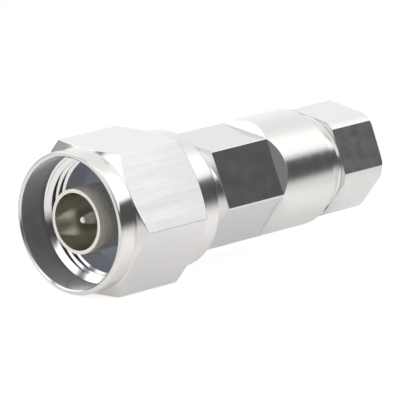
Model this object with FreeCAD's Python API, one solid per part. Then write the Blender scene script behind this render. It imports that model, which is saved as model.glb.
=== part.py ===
import FreeCAD, Part
import math
import os

os.makedirs("parts", exist_ok=True)

# Driving sizes in millimetres. X runs along the plug, from the mating mouth to the cable.
# The origin is on the axis, in the plane of the outer contact's tip. Z is up.

# Contacts at the mating face
contact_outer_d = 8.15
contact_wall = 0.5
contact_collar_d = 10.0
contact_collar_length = 7.2
pin_tip_d = 1.64
pin_tip_recess = 0.9
pin_tip_length = 4.4
pin_nose_d = 0.9
pin_nose_length = 2.0
pin_line_d = 3.04
pin_barrel_d = 4.4
solder_hole_d = 1.9
solder_hole_depth = 5.0

# Seat of the mating face: gasket and the head of the body behind it
gasket_seat_depth = 9.3
gasket_thickness = 1.0
gasket_inner_d = 9.8
head_d = 13.6

# Coupling nut, with the unified 5/8-24 thread of this connector series
coupling_thread_d = 15.875
coupling_pitch = 25.4 / 24
coupling_thread_length = 2.8
nut_across_flats = 18.0
nut_roll = 30.0
mouth_bore_d = 16.4
mouth_wall = 0.74
mouth_reach = 1.33
mouth_bore_depth = 4.16
mouth_outer_round = 0.45
mouth_inner_edge = 0.2
front_collar_length = 2.72
nut_hex_length = 12.0
nut_chamfer_angle = 30.0
rear_collar_d = 17.3
rear_collar_length = 3.05
relief_depth = 0.16
nut_floor_set_back = 0.2

# Ring that keeps the nut on the body
snap_ring_width = 0.9
snap_ring_groove_depth = 0.45
snap_ring_set_back = 1.5
snap_ring_opening = 3.0

# Body: neck, hexagon milled on round bar, and barrel
neck_d = 12.7
neck_start_set_back = 0.25
neck_length_in_view = 3.06
body_bar_d = 14.9
body_across_flats = 13.0
body_roll = 24.86
body_flats_length = 10.1
body_length = 19.37
body_wall_at_chamber = 0.8

# Insulators and sleeve in the bore of the body
stack_d = 8.8
front_insulator_length = 3.5
front_insulator_set_back = 0.7
sleeve_length = 9.5
sleeve_wall = 0.6
rear_insulator_length = 1.8

# Cable clamp
cable_bore_d = 8.0
dielectric_bore_d = 5.2
clamp_flange_thickness = 1.4
clamp_cone_start_d = 9.8
clamp_cone_end_d = 6.6
clamp_cone_length = 3.2
braid_space = 0.3
cable_seal_set_back = 1.0
cable_seal_length = 4.8
cable_seal_inner_d = 7.6
washer_thickness = 0.9
washer_inner_d = 8.4

# Clamp nut
clamp_thread_d = 12.5
clamp_thread_length = 4.3
clamp_thread_lead = 0.35
clamp_neck_d = 12.3
clamp_neck_fillet = 0.3
clamp_gap = 2.73
clamp_bar_d = 14.0
clamp_across_flats = 12.7
clamp_roll = 23.28
clamp_head_length = 7.33
clamp_rear_edge = 0.2
cable_mouth_edge = 0.5

# Clearances
running_gap = 0.1
thread_gap = 0.05
push_gap = 0.02
groove_gap = 0.05

# Stations along the axis
x_mouth = -mouth_reach
x_front_cone = x_mouth + front_collar_length
x_rear_cone = x_front_cone + nut_hex_length
x_nut_rear = x_rear_cone + rear_collar_length
x_body_hex = x_nut_rear + neck_length_in_view
x_flats_end = x_body_hex + body_flats_length
x_body_rear = x_body_hex + body_length
x_clamp_head = x_body_rear + clamp_gap
x_rear = x_clamp_head + clamp_head_length

x_head = gasket_seat_depth + gasket_thickness
x_collar_end = x_head + contact_collar_length
x_nut_floor = gasket_seat_depth + nut_floor_set_back
x_snap_ring = x_head + snap_ring_set_back
x_neck = x_nut_rear - neck_start_set_back
x_bead = x_head + front_insulator_set_back
x_sleeve = x_bead + front_insulator_length
x_chamber = x_sleeve + sleeve_length
x_braid_clamp = x_chamber + rear_insulator_length
x_clamp_cone = x_braid_clamp + clamp_flange_thickness
x_cable_seal = x_clamp_cone + cable_seal_set_back
x_washer = x_cable_seal + cable_seal_length
x_clamp_nut = x_washer + washer_thickness
x_clamp_relief = x_clamp_nut + clamp_thread_length

# Radii that follow from the driving sizes
contact_r = contact_outer_d / 2
line_r = contact_r - contact_wall
collar_r = contact_collar_d / 2
head_r = head_d / 2
nut_bore_r = head_r + running_gap
coupling_crest_r = coupling_thread_d / 2 - 0.54127 * coupling_pitch
relief_r = coupling_thread_d / 2 + relief_depth
mouth_r = mouth_bore_d / 2
front_collar_r = mouth_r + mouth_wall
rear_collar_r = rear_collar_d / 2
neck_r = neck_d / 2
body_bar_r = body_bar_d / 2
stack_r = stack_d / 2
chamber_r = body_across_flats / 2 - body_wall_at_chamber
clamp_thread_r = clamp_thread_d / 2
cable_r = cable_bore_d / 2

AXIS_POINT = FreeCAD.Vector(0, 0, 0)
AXIS = FreeCAD.Vector(1, 0, 0)


def turned(outline):
    """Solid of revolution about X from a closed outline of (x, radius) points."""
    points = [FreeCAD.Vector(x, 0, r) for x, r in outline]
    face = Part.Face(Part.makePolygon(points + points[:1]))
    return face.revolve(AXIS_POINT, AXIS, 360)


def round_points(x, r, radius, start, end, steps):
    """Points of an outline along a round about (x, r). Angles in degrees: 0 is +X, 90 outwards."""
    points = []
    for step in range(steps + 1):
        angle = math.radians(start + (end - start) * step / steps)
        points.append((x + radius * math.cos(angle), r + radius * math.sin(angle)))
    return points


def rod(x_start, x_end, radius):
    """Plain cylinder along X."""
    return Part.makeCylinder(radius, x_end - x_start, FreeCAD.Vector(x_start, 0, 0), AXIS)


def rolled(shape, angle):
    """Copy of a shape turned about X."""
    copy = shape.copy()
    copy.rotate(AXIS_POINT, AXIS, angle)
    return copy


def hexagon_bar(across_flats, x_start, x_end, roll):
    """Hexagonal bar. At roll 0 the normal of one flat is -Y."""
    corner_r = across_flats / math.sqrt(3)
    corners = []
    for side in range(6):
        angle = math.radians(60 * side + 30)
        corners.append(FreeCAD.Vector(x_start, corner_r * math.cos(angle), corner_r * math.sin(angle)))
    face = Part.Face(Part.makePolygon(corners + corners[:1]))
    return rolled(face.extrude(FreeCAD.Vector(x_end - x_start, 0, 0)), -roll)


def flat_cutters(across_flats, x_start, x_end, bar_r, roll, run_out):
    """Six cutters that mill flats on a round bar; run_out is the slope where the mill lifts."""
    apothem = across_flats / 2
    outside = bar_r + 1
    rise = (outside - apothem) if run_out else 0
    side = [(x_start, apothem), (x_end, apothem), (x_end + rise, outside), (x_start, outside)]
    points = [FreeCAD.Vector(x, -r, -outside) for x, r in side]
    face = Part.Face(Part.makePolygon(points + points[:1]))
    cutter = face.extrude(FreeCAD.Vector(0, 0, 2 * outside))
    return [rolled(cutter, -roll + 60 * step) for step in range(6)]


def coupling_nut():
    """Hexagon nut with a thin round mouth, a round rear collar and the bore of the thread."""
    corner_r = nut_across_flats / math.sqrt(3)
    slope = math.tan(math.radians(nut_chamfer_angle))
    envelope = turned([
        (x_front_cone, 0),
        (x_front_cone, front_collar_r),
        (x_front_cone + (corner_r - front_collar_r) * slope, corner_r),
        (x_rear_cone - (corner_r - rear_collar_r) * slope, corner_r),
        (x_rear_cone, rear_collar_r),
        (x_rear_cone, 0),
    ])
    bar = hexagon_bar(nut_across_flats, x_front_cone, x_rear_cone, nut_roll)
    hexagon = bar.common(envelope)
    outer_round = mouth_outer_round
    front_collar = turned([
        (x_mouth, 0),
        *round_points(x_mouth + outer_round, front_collar_r - outer_round, outer_round, 180, 90, 2),
        (x_front_cone, front_collar_r),
        (x_front_cone, 0),
    ])
    rear_collar = rod(x_rear_cone, x_nut_rear, rear_collar_r)
    x_thread = x_mouth + mouth_bore_depth
    x_thread_end = x_thread + coupling_thread_length
    lead = (mouth_r - coupling_crest_r) * slope
    bore = turned([
        (x_mouth - 1, 0),
        (x_mouth - 1, mouth_r + mouth_inner_edge),
        (x_mouth, mouth_r + mouth_inner_edge),
        (x_mouth + mouth_inner_edge, mouth_r),
        (x_thread, mouth_r),
        (x_thread + lead, coupling_crest_r),
        (x_thread_end, coupling_crest_r),
        (x_thread_end, relief_r),
        (x_nut_floor, relief_r),
        (x_nut_floor, nut_bore_r),
        (x_nut_rear + 1, nut_bore_r),
        (x_nut_rear + 1, 0),
    ])
    groove = rod(x_snap_ring - groove_gap, x_snap_ring + snap_ring_width + groove_gap,
                 nut_bore_r + snap_ring_groove_depth)
    return hexagon.fuse([front_collar, rear_collar]).cut([bore, groove]).removeSplitter()


def nut_snap_ring():
    """Open ring, half in the groove of the body and half in the groove of the nut."""
    outer_r = nut_bore_r + snap_ring_groove_depth - running_gap
    inner_r = head_r - snap_ring_groove_depth + groove_gap
    ring = rod(x_snap_ring, x_snap_ring + snap_ring_width, outer_r)
    ring = ring.cut(rod(x_snap_ring - 1, x_snap_ring + snap_ring_width + 1, inner_r))
    opening = Part.makeBox(snap_ring_width + 2, snap_ring_opening, outer_r + 1,
                           FreeCAD.Vector(x_snap_ring - 1, -snap_ring_opening / 2, 0))
    return ring.cut(opening)


def interface_gasket():
    """Flat rubber ring that the mating half presses on."""
    ring = rod(gasket_seat_depth, x_head, head_r)
    return ring.cut(rod(gasket_seat_depth - 1, x_head + 1, gasket_inner_d / 2))


def outer_contact():
    """Thin tube of the outer conductor, with a collar pressed into the body."""
    return turned([
        (0, line_r),
        (0, contact_r),
        (x_head, contact_r),
        (x_head, collar_r),
        (x_collar_end, collar_r),
        (x_collar_end, stack_r + push_gap),
        (x_bead, stack_r + push_gap),
        (x_bead, line_r),
    ])


def centre_pin():
    """Solid pin with a tapered nose, stepped up to a barrel with a solder hole."""
    x_tip = pin_tip_recess
    tip_r = pin_tip_d / 2
    x_shoulder = x_tip + pin_tip_length
    nose_round = 0.45 * pin_nose_d
    return turned([
        (x_tip, 0),
        *round_points(x_tip + nose_round, pin_nose_d / 2 - nose_round, nose_round, 180, 90, 3),
        (x_tip + pin_nose_length, tip_r),
        (x_shoulder, tip_r),
        (x_shoulder, pin_line_d / 2),
        (x_sleeve, pin_line_d / 2),
        (x_sleeve, pin_barrel_d / 2),
        (x_chamber, pin_barrel_d / 2),
        (x_chamber, solder_hole_d / 2),
        (x_chamber - solder_hole_depth, solder_hole_d / 2),
        (x_chamber - solder_hole_depth, 0),
    ])


def front_insulator():
    """Bead that centres the pin in the outer contact."""
    bead = rod(x_bead, x_sleeve, stack_r)
    return bead.cut(rod(x_bead - 1, x_sleeve + 1, pin_line_d / 2 + push_gap))


def spacer_sleeve():
    """Metal sleeve that holds the two insulators apart."""
    sleeve = rod(x_sleeve, x_chamber, stack_r)
    return sleeve.cut(rod(x_sleeve - 1, x_chamber + 1, stack_r - sleeve_wall))


def rear_insulator():
    """Disc behind the pin, with a hole for the inner conductor."""
    disc = rod(x_chamber, x_braid_clamp, chamber_r - groove_gap)
    return disc.cut(rod(x_chamber - 1, x_braid_clamp + 1, solder_hole_d / 2 + groove_gap))


def braid_clamp():
    """Flanged sleeve with a tapered tail that the braid folds over."""
    bore_r = dielectric_bore_d / 2
    x_tail = x_clamp_cone + clamp_cone_length
    return turned([
        (x_braid_clamp, bore_r),
        (x_braid_clamp, chamber_r - running_gap),
        (x_clamp_cone, chamber_r - running_gap),
        (x_clamp_cone, clamp_cone_start_d / 2),
        (x_tail, clamp_cone_end_d / 2),
        (x_tail, bore_r),
    ])


def cone_r(x):
    """Radius of the braid clamp's tail at a station."""
    share = (x - x_clamp_cone) / clamp_cone_length
    return (clamp_cone_start_d + (clamp_cone_end_d - clamp_cone_start_d) * share) / 2


def cable_seal():
    """Rubber ring round the cable, hollowed in front to fit over the braid clamp's tail."""
    inner_r = cable_seal_inner_d / 2
    taper = (clamp_cone_start_d - clamp_cone_end_d) / (2 * clamp_cone_length)
    mouth_r_seal = cone_r(x_cable_seal) + braid_space
    x_seat = x_cable_seal + (mouth_r_seal - inner_r) / taper
    return turned([
        (x_cable_seal, mouth_r_seal),
        (x_cable_seal, chamber_r - running_gap),
        (x_washer, chamber_r - running_gap),
        (x_washer, inner_r),
        (x_seat, inner_r),
    ])


def slip_washer():
    """Flat washer that lets the clamp nut turn without twisting the seal."""
    washer = rod(x_washer, x_clamp_nut, chamber_r - running_gap)
    return washer.cut(rod(x_washer - 1, x_clamp_nut + 1, washer_inner_d / 2))


def plug_body():
    """Head, neck, hexagon and barrel of the body, bored in steps for what it holds."""
    head = rod(x_head, x_neck, head_r)
    neck = rod(x_neck, x_body_hex, neck_r)
    bar = rod(x_body_hex, x_body_rear, body_bar_r)
    bar = bar.cut(flat_cutters(body_across_flats, x_body_hex, x_flats_end, body_bar_r,
                               body_roll, True))
    thread_r = clamp_thread_r + thread_gap
    bores = turned([
        (x_head - 1, 0),
        (x_head - 1, collar_r + push_gap),
        (x_collar_end, collar_r + push_gap),
        (x_collar_end, stack_r + push_gap),
        (x_chamber, stack_r + push_gap),
        (x_chamber, chamber_r),
        (x_washer, chamber_r),
        (x_washer, thread_r),
        (x_body_rear - clamp_thread_lead, thread_r),
        (x_body_rear, thread_r + clamp_thread_lead),
        (x_body_rear + 1, thread_r + clamp_thread_lead),
        (x_body_rear + 1, 0),
    ])
    ring_groove_r = head_r - snap_ring_groove_depth
    ring_groove = turned([
        (x_snap_ring - groove_gap, ring_groove_r),
        (x_snap_ring - groove_gap, head_r + 1),
        (x_snap_ring + snap_ring_width + groove_gap, head_r + 1),
        (x_snap_ring + snap_ring_width + groove_gap, ring_groove_r),
    ])
    return head.fuse([neck, bar]).cut([bores, ring_groove]).removeSplitter()


def clamp_nut():
    """Rear nut: round bar with six flats, a smooth neck and a threaded nose."""
    edge = clamp_rear_edge
    head = turned([
        (x_clamp_head, 0),
        (x_clamp_head, clamp_bar_d / 2),
        (x_rear - edge, clamp_bar_d / 2),
        (x_rear, clamp_bar_d / 2 - edge),
        (x_rear, 0),
    ])
    head = head.cut(flat_cutters(clamp_across_flats, x_clamp_head - 1, x_rear + 1,
                                 clamp_bar_d / 2, clamp_roll, False))
    lead = clamp_thread_lead
    neck_radius = clamp_neck_d / 2
    fillet = clamp_neck_fillet
    nose = turned([
        (x_clamp_nut, 0),
        (x_clamp_nut, clamp_thread_r - lead),
        (x_clamp_nut + lead, clamp_thread_r),
        (x_clamp_relief, clamp_thread_r),
        (x_clamp_relief, neck_radius),
        (x_clamp_head - fillet, neck_radius),
        (x_clamp_head, neck_radius + fillet / 2),
        (x_clamp_head, 0),
    ])
    bore = turned([
        (x_clamp_nut - 1, 0),
        (x_clamp_nut - 1, cable_r),
        (x_rear - cable_mouth_edge, cable_r),
        (x_rear, cable_r + cable_mouth_edge),
        (x_rear + 1, cable_r + cable_mouth_edge),
        (x_rear + 1, 0),
    ])
    return head.fuse(nose).cut(bore).removeSplitter()


PIECES = {
    "coupling_nut": coupling_nut,
    "nut_snap_ring": nut_snap_ring,
    "interface_gasket": interface_gasket,
    "outer_contact": outer_contact,
    "centre_pin": centre_pin,
    "front_insulator": front_insulator,
    "spacer_sleeve": spacer_sleeve,
    "rear_insulator": rear_insulator,
    "braid_clamp": braid_clamp,
    "cable_seal": cable_seal,
    "slip_washer": slip_washer,
    "plug_body": plug_body,
    "clamp_nut": clamp_nut,
}

for name, make in PIECES.items():
    shape = make()
    shape.exportStep(f"parts/{name}.step")
    print(name, shape.isValid(), len(shape.Solids), len(shape.Faces), round(shape.Volume, 2))
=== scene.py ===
# %% [markdown]
# # A straight coaxial plug, dressed in Blender
#
# The part is a plug of turned brass with white nickel plate. A hexagonal coupling nut turns on a
# milled body, a thin contact tube and a pin stand in its mouth, and a clamp nut closes the rear.
# The solids come from the CAD model in metres. This script gives them what the eye needs: rounded
# edges, real threads, tool marks, plating, and a studio whose reflections draw the shapes.

# %% Load the solids
import math

import bmesh
import bpy
from mathutils import Matrix, Vector


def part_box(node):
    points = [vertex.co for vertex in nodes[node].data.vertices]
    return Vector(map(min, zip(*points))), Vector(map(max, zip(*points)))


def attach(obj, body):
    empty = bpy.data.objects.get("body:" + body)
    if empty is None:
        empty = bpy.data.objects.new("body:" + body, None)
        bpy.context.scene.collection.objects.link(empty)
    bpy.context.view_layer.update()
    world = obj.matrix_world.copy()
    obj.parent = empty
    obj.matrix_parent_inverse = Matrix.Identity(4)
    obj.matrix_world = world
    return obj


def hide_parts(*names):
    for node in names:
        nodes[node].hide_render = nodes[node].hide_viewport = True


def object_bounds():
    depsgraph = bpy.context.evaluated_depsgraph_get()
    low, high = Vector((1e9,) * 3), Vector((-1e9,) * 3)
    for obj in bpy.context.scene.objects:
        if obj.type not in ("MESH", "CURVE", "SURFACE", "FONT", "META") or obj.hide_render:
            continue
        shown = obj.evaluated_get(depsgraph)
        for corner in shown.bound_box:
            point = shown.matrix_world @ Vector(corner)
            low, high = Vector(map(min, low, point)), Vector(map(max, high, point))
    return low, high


MM = 0.001
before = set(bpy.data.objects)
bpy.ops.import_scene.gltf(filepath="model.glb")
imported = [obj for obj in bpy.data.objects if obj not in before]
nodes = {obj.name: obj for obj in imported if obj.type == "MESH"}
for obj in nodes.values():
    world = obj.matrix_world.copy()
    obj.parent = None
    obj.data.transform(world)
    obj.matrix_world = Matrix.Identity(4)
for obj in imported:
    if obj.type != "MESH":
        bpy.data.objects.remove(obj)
cad_low, cad_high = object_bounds()
print("solids:", len(nodes), "box in mm:", [round(v / MM, 2) for v in (*cad_low, *cad_high)])

# %% [markdown]
# ## The view
#
# The photograph looks down on the mouth from the front left with a long lens, so lines stay
# nearly parallel. Such a camera can be placed by eye, but metal shows each degree of error in its
# reflections. So it is placed by numbers: a point on the axis, two angles, a distance and a roll.
# At azimuth 0 it would stand at -Y with the mouth on its left. A negative azimuth brings it round
# to the mouth.

# %% Camera
VIEW_AZIMUTH = math.radians(-47.343)
VIEW_ELEVATION = math.radians(14.356)
VIEW_ROLL = math.radians(0.603)
VIEW_DISTANCE = 715.79 * MM
VIEW_POINT = Vector((22.199, 0, 0)) * MM
VIEW_DROP = 1.233 * MM    # the camera looks this far below that point
LENS = 517.886            # focal length, in millimetres as the sensor is
SENSOR_WIDTH = 36
CLIP_START = 0.05
CLIP_END = 10

backward = Vector((
    math.sin(VIEW_AZIMUTH) * math.cos(VIEW_ELEVATION),
    -math.cos(VIEW_AZIMUTH) * math.cos(VIEW_ELEVATION),
    math.sin(VIEW_ELEVATION),
))
level_right = Vector((math.cos(VIEW_AZIMUTH), math.sin(VIEW_AZIMUTH), 0))
right = Matrix.Rotation(VIEW_ROLL, 3, backward) @ level_right
up = backward.cross(right)

camera_data = bpy.data.cameras.new("camera")
camera_data.lens = LENS
camera_data.sensor_width = SENSOR_WIDTH
camera_data.clip_start = CLIP_START
camera_data.clip_end = CLIP_END
camera = bpy.data.objects.new("camera", camera_data)
bpy.context.scene.collection.objects.link(camera)
turn = Matrix((right, up, backward)).transposed().to_4x4()
camera.matrix_world = Matrix.Translation(
    VIEW_POINT - up * VIEW_DROP + backward * VIEW_DISTANCE) @ turn
bpy.context.scene.camera = camera
print("camera at mm", [round(v / MM, 1) for v in camera.matrix_world.translation])

# %% [markdown]
# ## Small tools for materials
#
# Colours are written as the hex values that a picture shows, and one function turns them into the
# linear values that a shader wants. A second small function adds a node, with its settings and
# its links, so that each finish below reads as a short recipe.

# %% Helpers for nodes


def linear(hex_colour):
    """Linear RGBA from an sRGB hex value."""
    channels = []
    for start in (1, 3, 5):
        value = int(hex_colour[start:start + 2], 16) / 255
        channels.append(value / 12.92 if value <= 0.04045 else ((value + 0.055) / 1.055) ** 2.4)
    return (*channels, 1)


def add(tree, kind, settings=None, links=None):
    """A new node. links holds values or other nodes' outputs, by socket name or number."""
    node = tree.nodes.new(kind)
    for name, value in (settings or {}).items():
        setattr(node, name, value)
    for socket, value in (links or {}).items():
        if isinstance(value, bpy.types.NodeSocket):
            tree.links.new(value, node.inputs[socket])
        else:
            node.inputs[socket].default_value = value
    return node


def new_material(name):
    """An empty node material and its tree."""
    material = bpy.data.materials.new(name)
    material.use_nodes = True
    material.node_tree.nodes.clear()
    return material, material.node_tree


# %% [markdown]
# ## Studio
#
# A mirror shows its room. The photograph's flats are near white, near black or pale grey, with
# soft limits, so the room has a bright ceiling, walls that change with the compass, and a pale
# table. A few lamps could stand for it, but their outlines would show in the metal. A world that
# depends only on direction gives broad, even areas, and the camera itself sees plain white.

# %% Directions of the room
world = bpy.data.worlds.new("studio")
bpy.context.scene.world = world
world.use_nodes = True
studio = world.node_tree
studio.nodes.clear()
direction = add(studio, "ShaderNodeTexCoord").outputs["Generated"]
parts = add(studio, "ShaderNodeSeparateXYZ", links={0: direction}).outputs
compass = add(studio, "ShaderNodeMath", {"operation": "ARCTAN2"}, {0: parts["Y"], 1: parts["X"]})
around = add(studio, "ShaderNodeMapRange", links={
    "Value": compass.outputs[0], "From Min": -math.pi, "From Max": math.pi})

# %% Light round the compass and light by height
BRIGHTEST = 1.3    # a colour ramp ends at 1, so it holds each brightness as a share of this one


def ring_of_light(stops):
    """Brightness round the compass, from (degrees from +X towards +Y, brightness) stops."""
    ramp = add(studio, "ShaderNodeValToRGB", links={"Fac": around.outputs["Result"]})
    points = ramp.color_ramp.elements
    while len(points) < len(stops):
        points.new(0.5)    # moved to its place below
    for point, (angle, light) in zip(points, stops):
        point.position = (angle + 180) / 360
        point.color = (light / BRIGHTEST,) * 3 + (1,)
    return ramp.outputs["Color"]


def climb(level, start, full):
    """0 below one height of a direction, 1 above the other, with a soft step between."""
    return add(studio, "ShaderNodeMapRange", {"interpolation_type": "SMOOTHSTEP"}, {
        "Value": level, "From Min": start, "From Max": full}).outputs["Result"]


# %% [markdown]
# Each stop belongs to a place on the metal that mirrors that direction. The walls are dark on the
# camera's side, which blackens the flats that look there. They are bright on the far side, where
# the faces square to the axis mirror the wall beyond the mouth. The ceiling is bright nearly all
# round, with a dark patch above the camera and one narrow dark line on the far side. That line
# draws the fine dark lines in the bore and on the nut's cone.

# %% Walls and ceiling
CEILING_START = 0.360     # height of a direction, as the sine of its elevation
CEILING_FULL = 0.430
CEILING_SLOPE = (-0.075, -0.06, 1)    # the ceiling comes lower towards -X and -Y
WALL_START = -0.24
WALL_FULL = 0.03
FAR_TABLE = 0.90

walls = ring_of_light([
    (-180, 0.45), (-170, 0.06), (-148, 0.06), (-100, 0.10), (-25, 0.08), (12, 0.08), (30, 1.04),
    (60, 1.04), (80, 0.55), (96, 0.43), (110, 0.43), (124, 0.88), (166, 0.88), (180, 0.45),
])
ceiling = ring_of_light([
    (-180, 1.3), (-160, 0.95), (-145, 0.25), (-125, 0.25), (-100, 0.95), (-60, 1.3), (-12, 1.3),
    (2, 1.02), (15, 0.96), (60, 0.98), (90, 1.3), (139, 1.3), (144, 0.20), (149, 0.20), (154, 1.3),
    (180, 1.3),
])
tilted = add(studio, "ShaderNodeVectorMath", {"operation": "DOT_PRODUCT"},
             {0: direction, 1: CEILING_SLOPE}).outputs["Value"]
table_light = (FAR_TABLE / BRIGHTEST,) * 3 + (1,)
sides = add(studio, "ShaderNodeMix", {"data_type": "RGBA"},
            {"Factor": climb(parts["Z"], WALL_START, WALL_FULL), 6: table_light, 7: walls})
room = add(studio, "ShaderNodeMix", {"data_type": "RGBA"},
           {"Factor": climb(tilted, CEILING_START, CEILING_FULL), 6: sides.outputs[2], 7: ceiling})

# %% Room for the metal, white for the camera
lit = add(studio, "ShaderNodeBackground", links={"Color": room.outputs[2], "Strength": BRIGHTEST})
white = add(studio, "ShaderNodeBackground", links={"Color": (1, 1, 1, 1), "Strength": 1})
ray = add(studio, "ShaderNodeLightPath")
seen = add(studio, "ShaderNodeMixShader",
           links={"Fac": ray.outputs["Is Camera Ray"], 1: lit.outputs[0], 2: white.outputs[0]})
add(studio, "ShaderNodeOutputWorld", links={"Surface": seen.outputs[0]})
bpy.context.scene.view_settings.view_transform = "Standard"
print("nodes of the studio:", len(studio.nodes))

# %% [markdown]
# ## Table
#
# The plug lies on one flat of its coupling nut, on a small round pale table. The table glows.
# For the camera its glow brings it up to the white of the room. For the metal above it, a weaker
# painted glow lights the undersides so that they come out pale. This painted glow is strongest
# below the plug and fades with the distance from it, so faces that mirror the table further off
# stay a little darker. The plug's soft shadow stays.

# %% Table
TABLE_RADIUS = 60 * MM
TABLE_SIDES = 96
table_height = cad_low.z
table_middle = (VIEW_POINT.x, 0, table_height)
table_mesh = bpy.data.meshes.new("table")
shape = bmesh.new()
bmesh.ops.create_circle(shape, cap_ends=True, segments=TABLE_SIDES, radius=TABLE_RADIUS,
                        matrix=Matrix.Translation(table_middle))
shape.to_mesh(table_mesh)
shape.free()
table = bpy.data.objects.new("table", table_mesh)
bpy.context.scene.collection.objects.link(table)
print("table at mm", [round(v / MM, 1) for v in table_middle])

# %% The table's paint
LIFT_FOR_CAMERA = 0.62
# painted light: a glow that only the metal's reflections see, strongest below the plug
PAINTED_GLOW_BELOW_PLUG = 0.30
PAINTED_GLOW_FAR_OFF = 0.06
PAINTED_GLOW_FADES_FROM = 24 * MM
PAINTED_GLOW_FADES_TO = 48 * MM

table_paint, tree = new_material("matt_white_table")
pale = add(tree, "ShaderNodeBsdfDiffuse", links={"Color": linear("#EDECEA")})
ray = add(tree, "ShaderNodeLightPath")
place = add(tree, "ShaderNodeTexCoord").outputs["Object"]
away = add(tree, "ShaderNodeVectorMath", {"operation": "DISTANCE"},
           {0: place, 1: table_middle}).outputs["Value"]
# painted glow in the metal's reflections, fading outwards from below the plug
painted_glow = add(tree, "ShaderNodeMapRange", links={
    "Value": away, "From Min": PAINTED_GLOW_FADES_FROM, "From Max": PAINTED_GLOW_FADES_TO,
    "To Min": PAINTED_GLOW_BELOW_PLUG, "To Max": PAINTED_GLOW_FAR_OFF})
for_camera = add(tree, "ShaderNodeMath", {"operation": "MULTIPLY"},
                 {0: ray.outputs["Is Camera Ray"], 1: LIFT_FOR_CAMERA})
lifted = add(tree, "ShaderNodeMath", {"operation": "MULTIPLY_ADD"},
             {0: ray.outputs["Is Glossy Ray"], 1: painted_glow.outputs[0], 2: for_camera.outputs[0]})
glow = add(tree, "ShaderNodeEmission", links={
    "Color": (1, 1, 1, 1), "Strength": lifted.outputs[0]})
paint = add(tree, "ShaderNodeAddShader", links={0: pale.outputs[0], 1: glow.outputs[0]})
add(tree, "ShaderNodeOutputMaterial", links={"Surface": paint.outputs[0]})
table_mesh.materials.append(table_paint)

# %% [markdown]
# ## Turned and milled metal
#
# Each plated piece is brass bar, turned on a lathe, with flats that were milled or drawn. White
# nickel plate follows the surface below it, so the finish is that of the tool: fine rings where
# it was turned, streaks along the bar where the hexagon was drawn, a faint mottle where it was
# milled and polished. The rings could be modelled, but they are only a change of gloss, so noise
# stretched along the tool's path drives roughness and a slight bump.
#
# On the real plug, rings and streaks are about 0.05 mm apart, and a pixel of the picture is
# 0.12 mm wide. Marks of their true size would vanish in it, so they are drawn as coarse as they
# need to show. The clouds of the plating bath keep their true size of 1.6 mm.

# %% Marks of the tools
RING = 0.12              # mm, a ring of a lathe, drawn at the width of a pixel
FINE_RING = 0.10         # mm, a ring of a sharper tool, drawn just finer
ROUGH_RING = 0.20        # mm, a ring of a drill or a blunt boring tool
STREAK = 0.90            # mm, a streak of the drawing die, drawn as wide as the photograph's
MILL_MARK = 0.30         # mm, the mottle of a milled and polished flat
BROAD_MILL_MARK = 0.70   # mm, the same from a blunter cutter
FACE_GRAIN = 0.10        # mm, the even grain of an end face
ROLLED_GRAIN = 0.20      # mm, the grain of rolled strip
ROUND_AXIS = (1, 0.02, 0.02)      # squeezes the pattern's Y and Z, so a mark runs round the axis
ROUGH_ROUND_AXIS = (1, 0.05, 0.05)
ALONG_BAR = (0.10, 1, 1)          # squeezes X, so a mark runs along the bar
ALONG_FLAT = (0.5, 1, 1)
ALONG_SHORT_FLAT = (0.7, 1, 1)
EVERY_WAY = (1, 1, 1)
CLOUD = 1.6              # mm, unevenness of the plating bath
CLOUD_SHARE = 0.35       # how much it counts beside the tool's marks
PATTERN_RANGE = (0.35, 1.0)       # what the two noises give when they are added up
CLOUD_RANGE = (0.35, 0.65)
HAZE_RANGE = (0.6, 1.4)  # least and most haze, as shares of the finish's own
BUMP_HEIGHT = 0.02 * MM
QUARTER_TURN = 0.25      # turns a reflection's streak from along the rings to across them
WHITE_NICKEL = "#EAE8E6"           # as it looks where it is only turned

# %% Plated finishes


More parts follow.
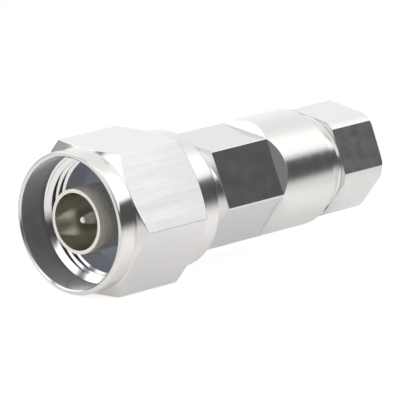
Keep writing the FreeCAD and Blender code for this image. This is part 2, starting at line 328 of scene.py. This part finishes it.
def plated(name, colour, gloss, grain, marks, depth, tint=0.03, haze=0.0, ringed=0.0,
           uneven=0.3):
    """White nickel or silver plate. grain scales X, Y and Z, marks is the width of a mark in mm,
    haze the share of light that fine scratches scatter, and ringed the pull of a lathe's rings."""
    material, tree = new_material(name)
    place = add(tree, "ShaderNodeTexCoord").outputs["Object"]
    stretched = add(tree, "ShaderNodeMapping", links={"Vector": place, "Scale": grain})
    fine = add(tree, "ShaderNodeTexNoise", links={
        "Vector": stretched.outputs[0], "Scale": 1 / (marks * MM), "Detail": 3, "Roughness": 0.6})
    cloud = add(tree, "ShaderNodeTexNoise", links={
        "Vector": place, "Scale": 1 / (CLOUD * MM), "Detail": 3})
    both = add(tree, "ShaderNodeMath", {"operation": "MULTIPLY_ADD"}, {
        0: cloud.outputs["Fac"], 1: CLOUD_SHARE, 2: fine.outputs["Fac"]})
    rough = add(tree, "ShaderNodeMapRange", links={
        "Value": both.outputs[0], "From Min": PATTERN_RANGE[0], "From Max": PATTERN_RANGE[1],
        "To Min": gloss * (1 - uneven), "To Max": gloss * (1 + uneven)})
    shade = add(tree, "ShaderNodeMapRange", links={
        "Value": both.outputs[0], "From Min": PATTERN_RANGE[0], "From Max": PATTERN_RANGE[1],
        "To Min": 1 - tint, "To Max": 1})
    base = add(tree, "ShaderNodeMix", {"data_type": "RGBA", "blend_type": "MULTIPLY"}, {
        "Factor": 1.0, 6: linear(colour), 7: shade.outputs[0]})
    bare = add(tree, "ShaderNodeMapRange", links={
        "Value": cloud.outputs["Fac"], "From Min": CLOUD_RANGE[0], "From Max": CLOUD_RANGE[1],
        "To Min": 1 - haze * HAZE_RANGE[0], "To Max": 1 - haze * HAZE_RANGE[1]})
    bump = add(tree, "ShaderNodeBump", links={
        "Height": fine.outputs["Fac"], "Strength": depth, "Distance": BUMP_HEIGHT})
    metal = add(tree, "ShaderNodeBsdfPrincipled", links={
        "Base Color": base.outputs[2], "Metallic": bare.outputs[0], "Roughness": rough.outputs[0],
        "Normal": bump.outputs[0], "Anisotropic": ringed, "Anisotropic Rotation": QUARTER_TURN})
    if ringed:
        around_axis = add(tree, "ShaderNodeTangent", {"direction_type": "RADIAL", "axis": "X"})
        tree.links.new(around_axis.outputs[0], metal.inputs["Tangent"])
    add(tree, "ShaderNodeOutputMaterial", links={"Surface": metal.outputs[0]})
    return material


# %% Finishes of the coupling nut
# Nickel on a turned collar: a satin sheen, in which the dark band of the room has soft limits.
turned_nut = plated("white_nickel_turned_satin", WHITE_NICKEL, gloss=0.19, grain=ROUND_AXIS,
                    marks=RING, depth=0.08)
# Nickel on the thin mouth, turned with a light last cut: crisper highlights along the rim.
rim_nut = plated("white_nickel_turned_rim", WHITE_NICKEL, gloss=0.13, grain=ROUND_AXIS,
                 marks=RING, depth=0.04)
# Nickel on thread crests, burnished by the tool: nearly a mirror beside dark grooves, and painted
# paler than the turned nickel, which lifts the shade deep in the mouth.
threaded_nut_painted_paler = plated("white_nickel_thread", "#F2F1F0", gloss=0.11, grain=ROUND_AXIS, marks=RING,
                      depth=0.03)
# Nickel in the bored mouth, where the bath reaches less well: an even grey without a clear mirror.
bored_nut = plated("white_nickel_bored", "#E6E6E6", gloss=0.32, grain=ROUND_AXIS, marks=RING,
                   depth=0.02, haze=0.10, uneven=0.15)
# Nickel on the rough wall behind the thread: dull, with no clear reflection, and a little blue.
# The blue is painted: it stands for the blue-grey gasket that this wall mirrors.
rough_nut_painted_blue = plated("white_nickel_rough_bored", "#EDF1FC", gloss=0.50, grain=ROUGH_ROUND_AXIS,
                   marks=ROUGH_RING, depth=0.05, haze=0.80, uneven=0.15)
# Nickel on the skin of drawn hexagon bar: long faint streaks in the white of the ceiling.
drawn_nut = plated("white_nickel_on_drawn_bar", "#EAE8E9", gloss=0.18, grain=ALONG_BAR,
                   marks=STREAK, depth=0.30, tint=0.05)
# Nickel on an end face, cut square with a sharp tool: a clean mirror, painted paler than the other
# nickel, which lifts the shade in the narrow gap between the coupling nut and the body.
faced_painted_paler = plated("white_nickel_faced_bright", "#FAFAFA", gloss=0.16, grain=EVERY_WAY,
               marks=FACE_GRAIN, depth=0.02)

# %% Finishes of the body and the clamp nut
# Nickel on the turned barrel and necks: bright, with the room's dark strip as one soft band.
turned_body = plated("white_nickel_turned_bright", "#E9E8E6", gloss=0.20, grain=ROUND_AXIS,
                     marks=FINE_RING, depth=0.05)
# Nickel on flats that were milled and polished: calm mirrors with a faint mottle.
milled_body = plated("white_nickel_milled_bright", "#DFDFE2", gloss=0.10, grain=ALONG_FLAT,
                     marks=MILL_MARK, depth=0.05, haze=0.05)
# Nickel on the clamp nut's milled flats, polished less: the same mirror, hazy and more mottled.
milled_clamp = plated("white_nickel_milled_satin", "#E8E8E9", gloss=0.14, grain=ALONG_SHORT_FLAT,
                      marks=BROAD_MILL_MARK, depth=0.15, haze=0.09)

# %% Finishes of the contacts and the spring
# Silver on the turned tube: warmer than nickel, with reflections drawn out by its rings.
contact_plate = plated("silver_plated_contact", "#DAD6C9", gloss=0.28, grain=ROUND_AXIS,
                       marks=FINE_RING, depth=0.03, haze=0.03, ringed=0.80, uneven=0.15)
# Silver in the reamed bore of the tube: smoother, so it holds long warm streaks of light, and
# painted paler than the tube's outside, which lifts the shade inside the bore.
contact_bore_painted_paler = plated("silver_plated_bore", "#F1EFE6", gloss=0.20, grain=ROUND_AXIS,
                      marks=FINE_RING, depth=0.01, haze=0.02, ringed=0.88, uneven=0.05)
# Silver on the polished pin: pale and warm, with a thin haze of wear. On the tube's rim the same
# pale silver is a painted highlight.
pin_plate_and_rim_highlight = plated("polished_silver_pin", "#F6F3EC", gloss=0.20, grain=ROUND_AXIS,
                   marks=FINE_RING, depth=0.03, haze=0.3)
# Bare spring steel, blanked from strip: plain grey with the fine grain of rolled metal.
spring = plated("spring_steel_blank", "#A9A9AB", gloss=0.30, grain=EVERY_WAY,
                marks=ROLLED_GRAIN, depth=0.10)
print("finishes:", [m.name for m in bpy.data.materials])

# %% [markdown]
# ## Rubber and resin
#
# The gasket is moulded silicone rubber, pale blue-grey and slightly waxy. The other seals are black
# nitrile rubber with a dull bloom, and the insulators are turned fluoropolymer, white and waxy.
# The grain of a mould or of a fine cut is near 0.02 mm, too fine to show, so it is drawn coarser.

# %% Soft and insulating finishes
GLOSS_SPREAD = 0.06    # how far the grain moves the roughness, up and down


def moulded(name, colour, rough, index, grain_mm, depth):
    """Moulded or turned non-metal with a fine grain."""
    material, tree = new_material(name)
    place = add(tree, "ShaderNodeTexCoord").outputs["Object"]
    grain = add(tree, "ShaderNodeTexNoise", links={
        "Vector": place, "Scale": 1 / (grain_mm * MM), "Detail": 2})
    uneven = add(tree, "ShaderNodeMapRange", links={
        "Value": grain.outputs["Fac"], "To Min": rough - GLOSS_SPREAD,
        "To Max": rough + GLOSS_SPREAD})
    bump = add(tree, "ShaderNodeBump", links={
        "Height": grain.outputs["Fac"], "Strength": depth, "Distance": BUMP_HEIGHT})
    body = add(tree, "ShaderNodeBsdfPrincipled", links={
        "Base Color": linear(colour), "Roughness": uneven.outputs[0], "IOR": index,
        "Normal": bump.outputs[0]})
    add(tree, "ShaderNodeOutputMaterial", links={"Surface": body.outputs[0]})
    return material


# Silicone from a polished mould: pale, with a soft waxy shine and hardly any grain.
silicone = moulded("silicone_gasket_blue_grey", "#E6EAF3", rough=0.30, index=1.41, grain_mm=0.25,
                   depth=0.08)
# Nitrile rubber from a plain mould: black with a dull bloom.
nitrile = moulded("nitrile_rubber_black", "#1E1E1F", rough=0.60, index=1.52, grain_mm=0.20,
                  depth=0.35)
# Fluoropolymer turned from rod: warm white and waxy.
fluoropolymer = moulded("turned_fluoropolymer", "#E9E6DC", rough=0.40, index=1.35, grain_mm=0.15,
                        depth=0.15)
print("soft finishes:", silicone.name, nitrile.name, fluoropolymer.name)

# %% [markdown]
# ## Smooth copies of the solids
#
# A CAD solid arrives as loose triangles with knife edges. Real edges are broken by a file or by
# tumbling and catch the light, so each piece that shows is copied, its triangles are joined into
# whole faces, and a narrow bevel is added. The bevel could be a shader trick, but true geometry
# also keeps its shine in other programs.

# %% Copy a solid
CREASE = math.radians(25)    # an edge sharper than this is an edge, and a flatter one is a curve
HAIR = 0.01                  # mm, a corner this near to a station is at it
SAME_POINT = 0.0005 * MM     # corners this near to each other become one
SAME_FACE = math.radians(0.4)    # triangles that turn less than this become one face


def joined_copy(node_name, piece_name):
    """A copy of a CAD solid with its triangles joined into whole faces."""
    shape = bmesh.new()
    shape.from_mesh(nodes[node_name].data)
    bmesh.ops.remove_doubles(shape, verts=shape.verts, dist=SAME_POINT)
    bmesh.ops.dissolve_limit(shape, angle_limit=SAME_FACE, verts=shape.verts, edges=shape.edges)
    mesh = bpy.data.meshes.new(piece_name)
    shape.to_mesh(mesh)
    shape.free()
    piece = bpy.data.objects.new(piece_name, mesh)
    bpy.context.scene.collection.objects.link(piece)
    return piece


# %% Break its edges
BEVEL_STEPS = 2


def soften(piece, width_mm, broad_at_mm=None, broad=1):
    """Live bevel on the outside edges sharper than a crease. A tool leaves inside edges sharp.
    The edges at one station can be broader than the rest."""
    shape = bmesh.new()
    shape.from_mesh(piece.data)
    weight = shape.edges.layers.float.new("bevel_weight_edge")
    for edge in shape.edges:
        outside = edge.is_convex and edge.calc_face_angle(0) > CREASE
        stations = [vertex.co.x / MM for vertex in edge.verts]
        at_station = broad_at_mm and max(abs(x - broad_at_mm) for x in stations) < HAIR
        edge[weight] = outside * (1 if at_station else 1 / broad)
    shape.to_mesh(piece.data)
    shape.free()
    bevel = piece.modifiers.new("edge", "BEVEL")
    bevel.width = width_mm * broad * MM
    bevel.segments = BEVEL_STEPS
    bevel.limit_method = "WEIGHT"
    bevel.use_clamp_overlap = True


# %% [markdown]
# Smooth shading bends light over a flat when its long thin neighbours pull the normals their way.
# A Weighted Normal modifier would help, but a Boolean leaves old normals in the mesh that spoil it.
# So the old ones are removed, and each corner gets its normal from the faces around it by area.

# %% Make a plain mesh and shade it


def plain_mesh(piece):
    """Turn what the modifiers make into the piece's own mesh."""
    graph = bpy.context.evaluated_depsgraph_get()
    mesh = bpy.data.meshes.new_from_object(piece.evaluated_get(graph))
    piece.modifiers.clear()
    piece.data = mesh
    mesh.name = piece.name
    if "custom_normal" in mesh.attributes:
        mesh.attributes.remove(mesh.attributes["custom_normal"])


def freeze(piece):
    """Apply the modifiers and shade smooth. At each corner of a face only the faces within the
    crease angle count, by their area, so that curves run smoothly and flats stay flat."""
    plain_mesh(piece)
    mesh = piece.data
    mesh.shade_smooth()
    around_vertex = [[] for _ in mesh.vertices]
    for face in mesh.polygons:
        for vertex in face.vertices:
            around_vertex[vertex].append((face.normal.copy(), face.area))
    least = math.cos(CREASE)
    normals = []
    for face in mesh.polygons:
        for vertex in face.vertices:
            total = Vector()
            for normal, area in around_vertex[vertex]:
                if normal.dot(face.normal) > least:
                    total += normal * area
            normals.append(total.normalized() if total.length else face.normal)
    mesh.normals_split_custom_set(normals)
    print(piece.name, "faces:", len(mesh.polygons))


# %% [markdown]
# One mesh can hold several finishes, as slots that its faces point to. A face is a flat of the
# hexagon when it runs along the axis at the hexagon's own distance from it. The other faces are
# told apart by where they lie along the axis and how far out.

# %% Lay finishes on it
LEVEL = 0.02              # a face whose normal leans less than this along X runs along the axis
ON_FLAT = 0.004 * MM      # how near to the hexagon's apothem a face lies that is one of its flats


def dress(piece, turned, flat=None, apothem_mm=None):
    """Turned finish everywhere, and the flat finish on faces at the apothem of the hexagon."""
    mesh = piece.data
    mesh.materials.clear()
    mesh.materials.append(turned)
    if flat is None:
        return
    mesh.materials.append(flat)
    for face in mesh.polygons:
        level = abs(face.normal.x) < LEVEL
        distance = face.normal.dot(face.center)
        if level and abs(distance - apothem_mm * MM) < ON_FLAT:
            face.material_index = 1


def dress_zone(piece, finish, start_mm, end_mm, radius_mm):
    """Another finish on the faces that lie between two stations and inside a radius."""
    mesh = piece.data
    mesh.materials.append(finish)
    number = len(mesh.materials) - 1
    for face in mesh.polygons:
        reach = max(math.hypot(*mesh.vertices[v].co.yz) for v in face.vertices)
        along = [mesh.vertices[v].co.x for v in face.vertices]
        inside = reach < radius_mm * MM
        if inside and min(along) > start_mm * MM and max(along) < end_mm * MM:
            face.material_index = number


# %% [markdown]
# ## Threads
#
# The nut's mouth has a unified 5/8-24 thread and the clamp nut a fine metric one. A lathe cuts a
# thread by moving a V-shaped tool along a helix, and that is how both are made here: Geometry
# Nodes sweep the V along a spiral, and a Boolean takes it away from the piece. One tree serves
# both threads, because all its sizes are inputs.

# %% Inputs of the thread's tree
thread_tree = bpy.data.node_groups.new("thread_cutter", "GeometryNodeTree")
for label, kind in (("Geometry", "NodeSocketGeometry"), ("Start", "NodeSocketFloat"),
                    ("Pitch", "NodeSocketFloat"), ("Turns", "NodeSocketFloat"),
                    ("Open radius", "NodeSocketFloat"), ("Root radius", "NodeSocketFloat"),
                    ("Open width", "NodeSocketFloat"), ("Root width", "NodeSocketFloat"),
                    ("Material", "NodeSocketMaterial")):
    thread_tree.interface.new_socket(label, in_out="INPUT", socket_type=kind)
thread_tree.interface.new_socket("Geometry", in_out="OUTPUT", socket_type="NodeSocketGeometry")

# %% The tool's path and its V
STEPS_PER_TURN = 90
given = add(thread_tree, "NodeGroupInput").outputs
height = add(thread_tree, "ShaderNodeMath", {"operation": "MULTIPLY"},
             {0: given["Pitch"], 1: given["Turns"]})
path = add(thread_tree, "GeometryNodeCurveSpiral", links={
    "Resolution": STEPS_PER_TURN, "Rotations": given["Turns"], "Start Radius": given["Open radius"],
    "End Radius": given["Open radius"], "Height": height.outputs[0], "Reverse": True})
upright = add(thread_tree, "GeometryNodeSetCurveNormal", {"mode": "Z_UP"}, {0: path.outputs[0]})
depth = add(thread_tree, "ShaderNodeMath", {"operation": "SUBTRACT"},
            {0: given["Root radius"], 1: given["Open radius"]})
corners = []
for across, width, side in ((0, "Open width", -0.5), (0, "Open width", 0.5),
                            (1, "Root width", 0.5), (1, "Root width", -0.5)):
    reach = add(thread_tree, "ShaderNodeMath", {"operation": "MULTIPLY"},
                {0: depth.outputs[0], 1: across})
    along = add(thread_tree, "ShaderNodeMath", {"operation": "MULTIPLY"},
                {0: given[width], 1: side})
    corners.append(add(thread_tree, "ShaderNodeCombineXYZ",
                       links={0: reach.outputs[0], 1: along.outputs[0]}))
tool = add(thread_tree, "GeometryNodeCurvePrimitiveQuadrilateral", {"mode": "POINTS"}, {
    f"Point {number + 1}": corner.outputs[0] for number, corner in enumerate(corners)})

# %% The swept cutter
swept = add(thread_tree, "GeometryNodeCurveToMesh", links={
    "Curve": upright.outputs[0], "Profile Curve": tool.outputs[0], "Fill Caps": True})
station = add(thread_tree, "ShaderNodeCombineXYZ", links={0: given["Start"]})
laid = add(thread_tree, "GeometryNodeTransform", links={
    "Geometry": swept.outputs[0], "Translation": station.outputs[0],
    "Rotation": (0, math.radians(90), 0)})
real = add(thread_tree, "GeometryNodeRealizeInstances", links={0: laid.outputs[0]})
plate = add(thread_tree, "GeometryNodeSetMaterial", links={
    "Geometry": real.outputs[0], "Material": given["Material"]})
add(thread_tree, "NodeGroupOutput", links={0: plate.outputs[0]})
print("thread tree nodes:", len(thread_tree.nodes))

# %% Cut a thread


def thread_cutter(name, material, **sizes_mm):
    """The path of a V-shaped tool as a closed mesh. Sizes are in mm, by the tree's input names."""
    blank = bpy.data.objects.new(name, bpy.data.meshes.new(name))
    bpy.context.scene.collection.objects.link(blank)
    sweep = blank.modifiers.new("sweep", "NODES")
    sweep.node_group = thread_tree
    for item in thread_tree.interface.items_tree:
        label = item.name.lower().replace(" ", "_")
        if item.in_out == "INPUT" and label in sizes_mm:
            scale = 1 if label == "turns" else MM
            sweep[item.identifier] = sizes_mm[label] * scale
        elif item.in_out == "INPUT" and label == "material":
            sweep[item.identifier] = material
    graph = bpy.context.evaluated_depsgraph_get()
    mesh = bpy.data.meshes.new_from_object(blank.evaluated_get(graph))
    blank.modifiers.clear()
    blank.data = mesh
    solid = bmesh.new()
    solid.from_mesh(mesh)
    bmesh.ops.recalc_face_normals(solid, faces=solid.faces)
    solid.to_mesh(mesh)
    solid.free()
    return blank


def cut(piece, tool):
    """Take the tool's path away from the piece, and clear the tool away."""
    boolean = piece.modifiers.new("cut", "BOOLEAN")
    boolean.operation = "DIFFERENCE"
    boolean.solver = "EXACT"
    boolean.object = tool
    plain_mesh(piece)
    bpy.data.objects.remove(tool)


# %% [markdown]
# ## Coupling nut
#
# The nut is hexagon bar with a thin round mouth. Its flats keep the satin streaks of the drawn
# bar and its ends are turned. The thread sits behind a plain counterbore and shows as bright
# crests with dark grooves between, so it is cut for real: a painted thread would slide over the
# curve when the view moves.

# %% Coupling nut's blank
NUT_APOTHEM = 9.0
nut_low, nut_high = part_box("coupling_nut")
mouth = nut_low.x / MM
nut_rear = nut_high.x / MM
nut = joined_copy("coupling_nut", "coupling_nut_finished")
soften(nut, width_mm=0.06, broad_at_mm=nut_rear, broad=4)
dress(nut, turned_nut, drawn_nut, NUT_APOTHEM)
print("nut from", round(mouth, 2), "to", round(nut_rear, 2), "mm")

# %% Coupling nut's thread
FLANK = 2 * math.tan(math.radians(30))    # a 60 degree V opens by this for each unit of depth
ROOT_FLAT = 0.125         # the groove's flat bottom, as a share of the pitch
INSIDE_DEPTH = 0.54127    # depth of a standard inside thread, as a share of the pitch
COUPLING_PITCH = 25.4 / 24
COUPLING_MAJOR_R = 15.875 / 2
COUPLING_CREST_R = COUPLING_MAJOR_R - INSIDE_DEPTH * COUPLING_PITCH
THREAD_FRONT = 3.90       # from the mouth's rim to where the threading tool starts
COUPLING_TURNS = 3.5
TOOL_ABOVE_CREST = 0.18   # how far the tool stands out of the groove that it cuts
BLUNT = 0.13              # a worn tool leaves this much more flat, and so narrower crests

root_width = COUPLING_PITCH * ROOT_FLAT + BLUNT
open_radius = COUPLING_CREST_R - TOOL_ABOVE_CREST
nut_tool = thread_cutter(
    "coupling_thread_tool", turned_nut, start=mouth + THREAD_FRONT, pitch=COUPLING_PITCH,
    turns=COUPLING_TURNS, open_radius=open_radius, root_radius=COUPLING_MAJOR_R,
    open_width=root_width + (COUPLING_MAJOR_R - open_radius) * FLANK, root_width=root_width)
cut(nut, nut_tool)
print("nut's thread:", len(nut.data.polygons), "faces before shading")

# %% Coupling nut's finishes
RIM_END = 3.7             # the first three are measured along the axis from the mouth's rim
COUNTERBORE = 4.16        # to the end of the plain counterbore
THREAD_REAR = 6.96        # to the end of the thread, where the bore is relieved
OVERLAP = 0.05            # two zones reach over their common station by this
OUTSIDE_R = 11            # beyond all of the nut
REAR_FACE_R = 9           # beyond the rear collar's end face
BORE_R = 8.25             # beyond the bores and inside the mouth's wall

dress_zone(nut, rim_nut, mouth - HAIR, mouth + RIM_END, OUTSIDE_R)
# the rear collar's end face looks at the body across a narrow gap: its paler nickel is painted
# light
dress_zone(nut, faced_painted_paler, nut_rear - HAIR, nut_rear + HAIR, REAR_FACE_R)
dress_zone(nut, bored_nut, mouth + OVERLAP, mouth + COUNTERBORE + OVERLAP, BORE_R)
# the thread's paler nickel is painted light in the deep mouth
dress_zone(nut, threaded_nut_painted_paler, mouth + COUNTERBORE - OVERLAP, mouth + THREAD_REAR + OVERLAP, BORE_R)
# the wall behind the thread is tinted blue as a painted reflection of the gasket
dress_zone(nut, rough_nut_painted_blue, mouth + THREAD_REAR - OVERLAP, nut_rear, BORE_R)
freeze(nut)
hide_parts("coupling_nut")
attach(nut, "coupling")

# %% [markdown]
# ## Body
#
# The body is one turned bar: a hidden head, a short neck, a milled hexagon whose flats run out in
# slopes where the cutter lifted, and a plain barrel. The flats are bright and flat enough to
# mirror the dark wall of the room, while the barrel shows it as a soft band.

# %% Body
BODY_APOTHEM = 6.5
NECK_IN_VIEW = 3.06       # from the coupling nut to the hexagon
BODY_FACE = nut_rear + NECK_IN_VIEW
BODY_FACE_R = 8           # beyond the hexagon's front face
body = joined_copy("plug_body", "plug_body_finished")
soften(body, width_mm=0.02)
dress(body, turned_body, milled_body, BODY_APOTHEM)
# the hexagon's front face lies in the gap behind the coupling nut: its paler nickel is painted
# light
dress_zone(body, faced_painted_paler, BODY_FACE - HAIR, BODY_FACE + HAIR, BODY_FACE_R)
freeze(body)
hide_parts("plug_body")
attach(body, "plug")

# %% [markdown]
# ## Clamp nut
#
# The rear nut presses the seal on the cable. Its head has six milled flats, and its nose has a
# fine thread that shows only when the nut is screwed out. The same tree cuts it, with the V open
# to the outside.

# %% Clamp nut
CLAMP_APOTHEM = 6.35
CLAMP_PITCH = 0.75
CLAMP_CREST_R = 6.25
OUTSIDE_DEPTH = 0.6134         # depth of a standard outside thread, as a share of the pitch
CLAMP_ROOT_R = CLAMP_CREST_R - OUTSIDE_DEPTH * CLAMP_PITCH
CLAMP_TURNS = 6.0
TOOL_BEFORE_NOSE = 0.4         # the tool starts in the air in front of the nose
TOOL_ABOVE_CLAMP_CREST = 0.1

clamp_low, clamp_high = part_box("clamp_nut")
print("clamp nut from", round(clamp_low.x / MM, 2), "to", round(clamp_high.x / MM, 2), "mm")
clamp = joined_copy("clamp_nut", "clamp_nut_finished")
soften(clamp, width_mm=0.03)
dress(clamp, turned_body, milled_clamp, CLAMP_APOTHEM)
root_width = CLAMP_PITCH * ROOT_FLAT
open_radius = CLAMP_CREST_R + TOOL_ABOVE_CLAMP_CREST
clamp_tool = thread_cutter(
    "clamp_thread_tool", turned_body, start=clamp_low.x / MM - TOOL_BEFORE_NOSE,
    pitch=CLAMP_PITCH, turns=CLAMP_TURNS, open_radius=open_radius, root_radius=CLAMP_ROOT_R,
    open_width=root_width + (open_radius - CLAMP_ROOT_R) * FLANK, root_width=root_width)
cut(clamp, clamp_tool)
freeze(clamp)
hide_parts("clamp_nut")
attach(clamp, "clamp")

# %% [markdown]
# ## Contacts
#
# The thin tube and the pin are the electrical parts, silver plated and a shade warmer than the
# nut. The tube's rim is a narrow bright ring: its edges get a small bevel of their own, and it
# takes the pin's paler silver as a painted highlight. Its reamed bore has a finish of its own,
# painted paler to lift the shade inside it.

# %% Contact tube
TUBE_RIM = 0.15           # the tube's tip is at station 0, and its rim ends here
TUBE_BORE_START = 0.05
TUBE_BORE_END = 12
TUBE_BORE_R = 3.7         # between the tube's inside and its outside
TUBE_OUTSIDE_R = 4.2      # beyond the tube
tube = joined_copy("outer_contact", "outer_contact_finished")
soften(tube, width_mm=0.08)
dress(tube, contact_plate)
plain_mesh(tube)
# the bore's paler silver is painted light inside the tube
dress_zone(tube, contact_bore_painted_paler, TUBE_BORE_START, TUBE_BORE_END, TUBE_BORE_R)
# the tube's rim takes the pin's paler silver as a painted highlight
dress_zone(tube, pin_plate_and_rim_highlight, -HAIR, TUBE_RIM, TUBE_OUTSIDE_R)
freeze(tube)
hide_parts("outer_contact")
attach(tube, "plug")

# %% Pin
pin = joined_copy("centre_pin", "centre_pin_finished")
soften(pin, width_mm=0.03)
dress(pin, pin_plate_and_rim_highlight)
freeze(pin)
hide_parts("centre_pin")
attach(pin, "plug")

# %% [markdown]
# ## Rubber, resin and hidden metal
#
# The other solids already have the right shape, so they stay as they are and only take a finish.

# %% Finishes of the remaining solids
for node_name, finish in (
        ("interface_gasket", silicone), ("cable_seal", nitrile),
        ("front_insulator", fluoropolymer), ("rear_insulator", fluoropolymer),
        ("nut_snap_ring", spring), ("spacer_sleeve", contact_plate),
        ("braid_clamp", turned_body), ("slip_washer", turned_body)):
    mesh = nodes[node_name].data
    mesh.materials.clear()
    mesh.materials.append(finish)
    print(node_name, "in", finish.name)
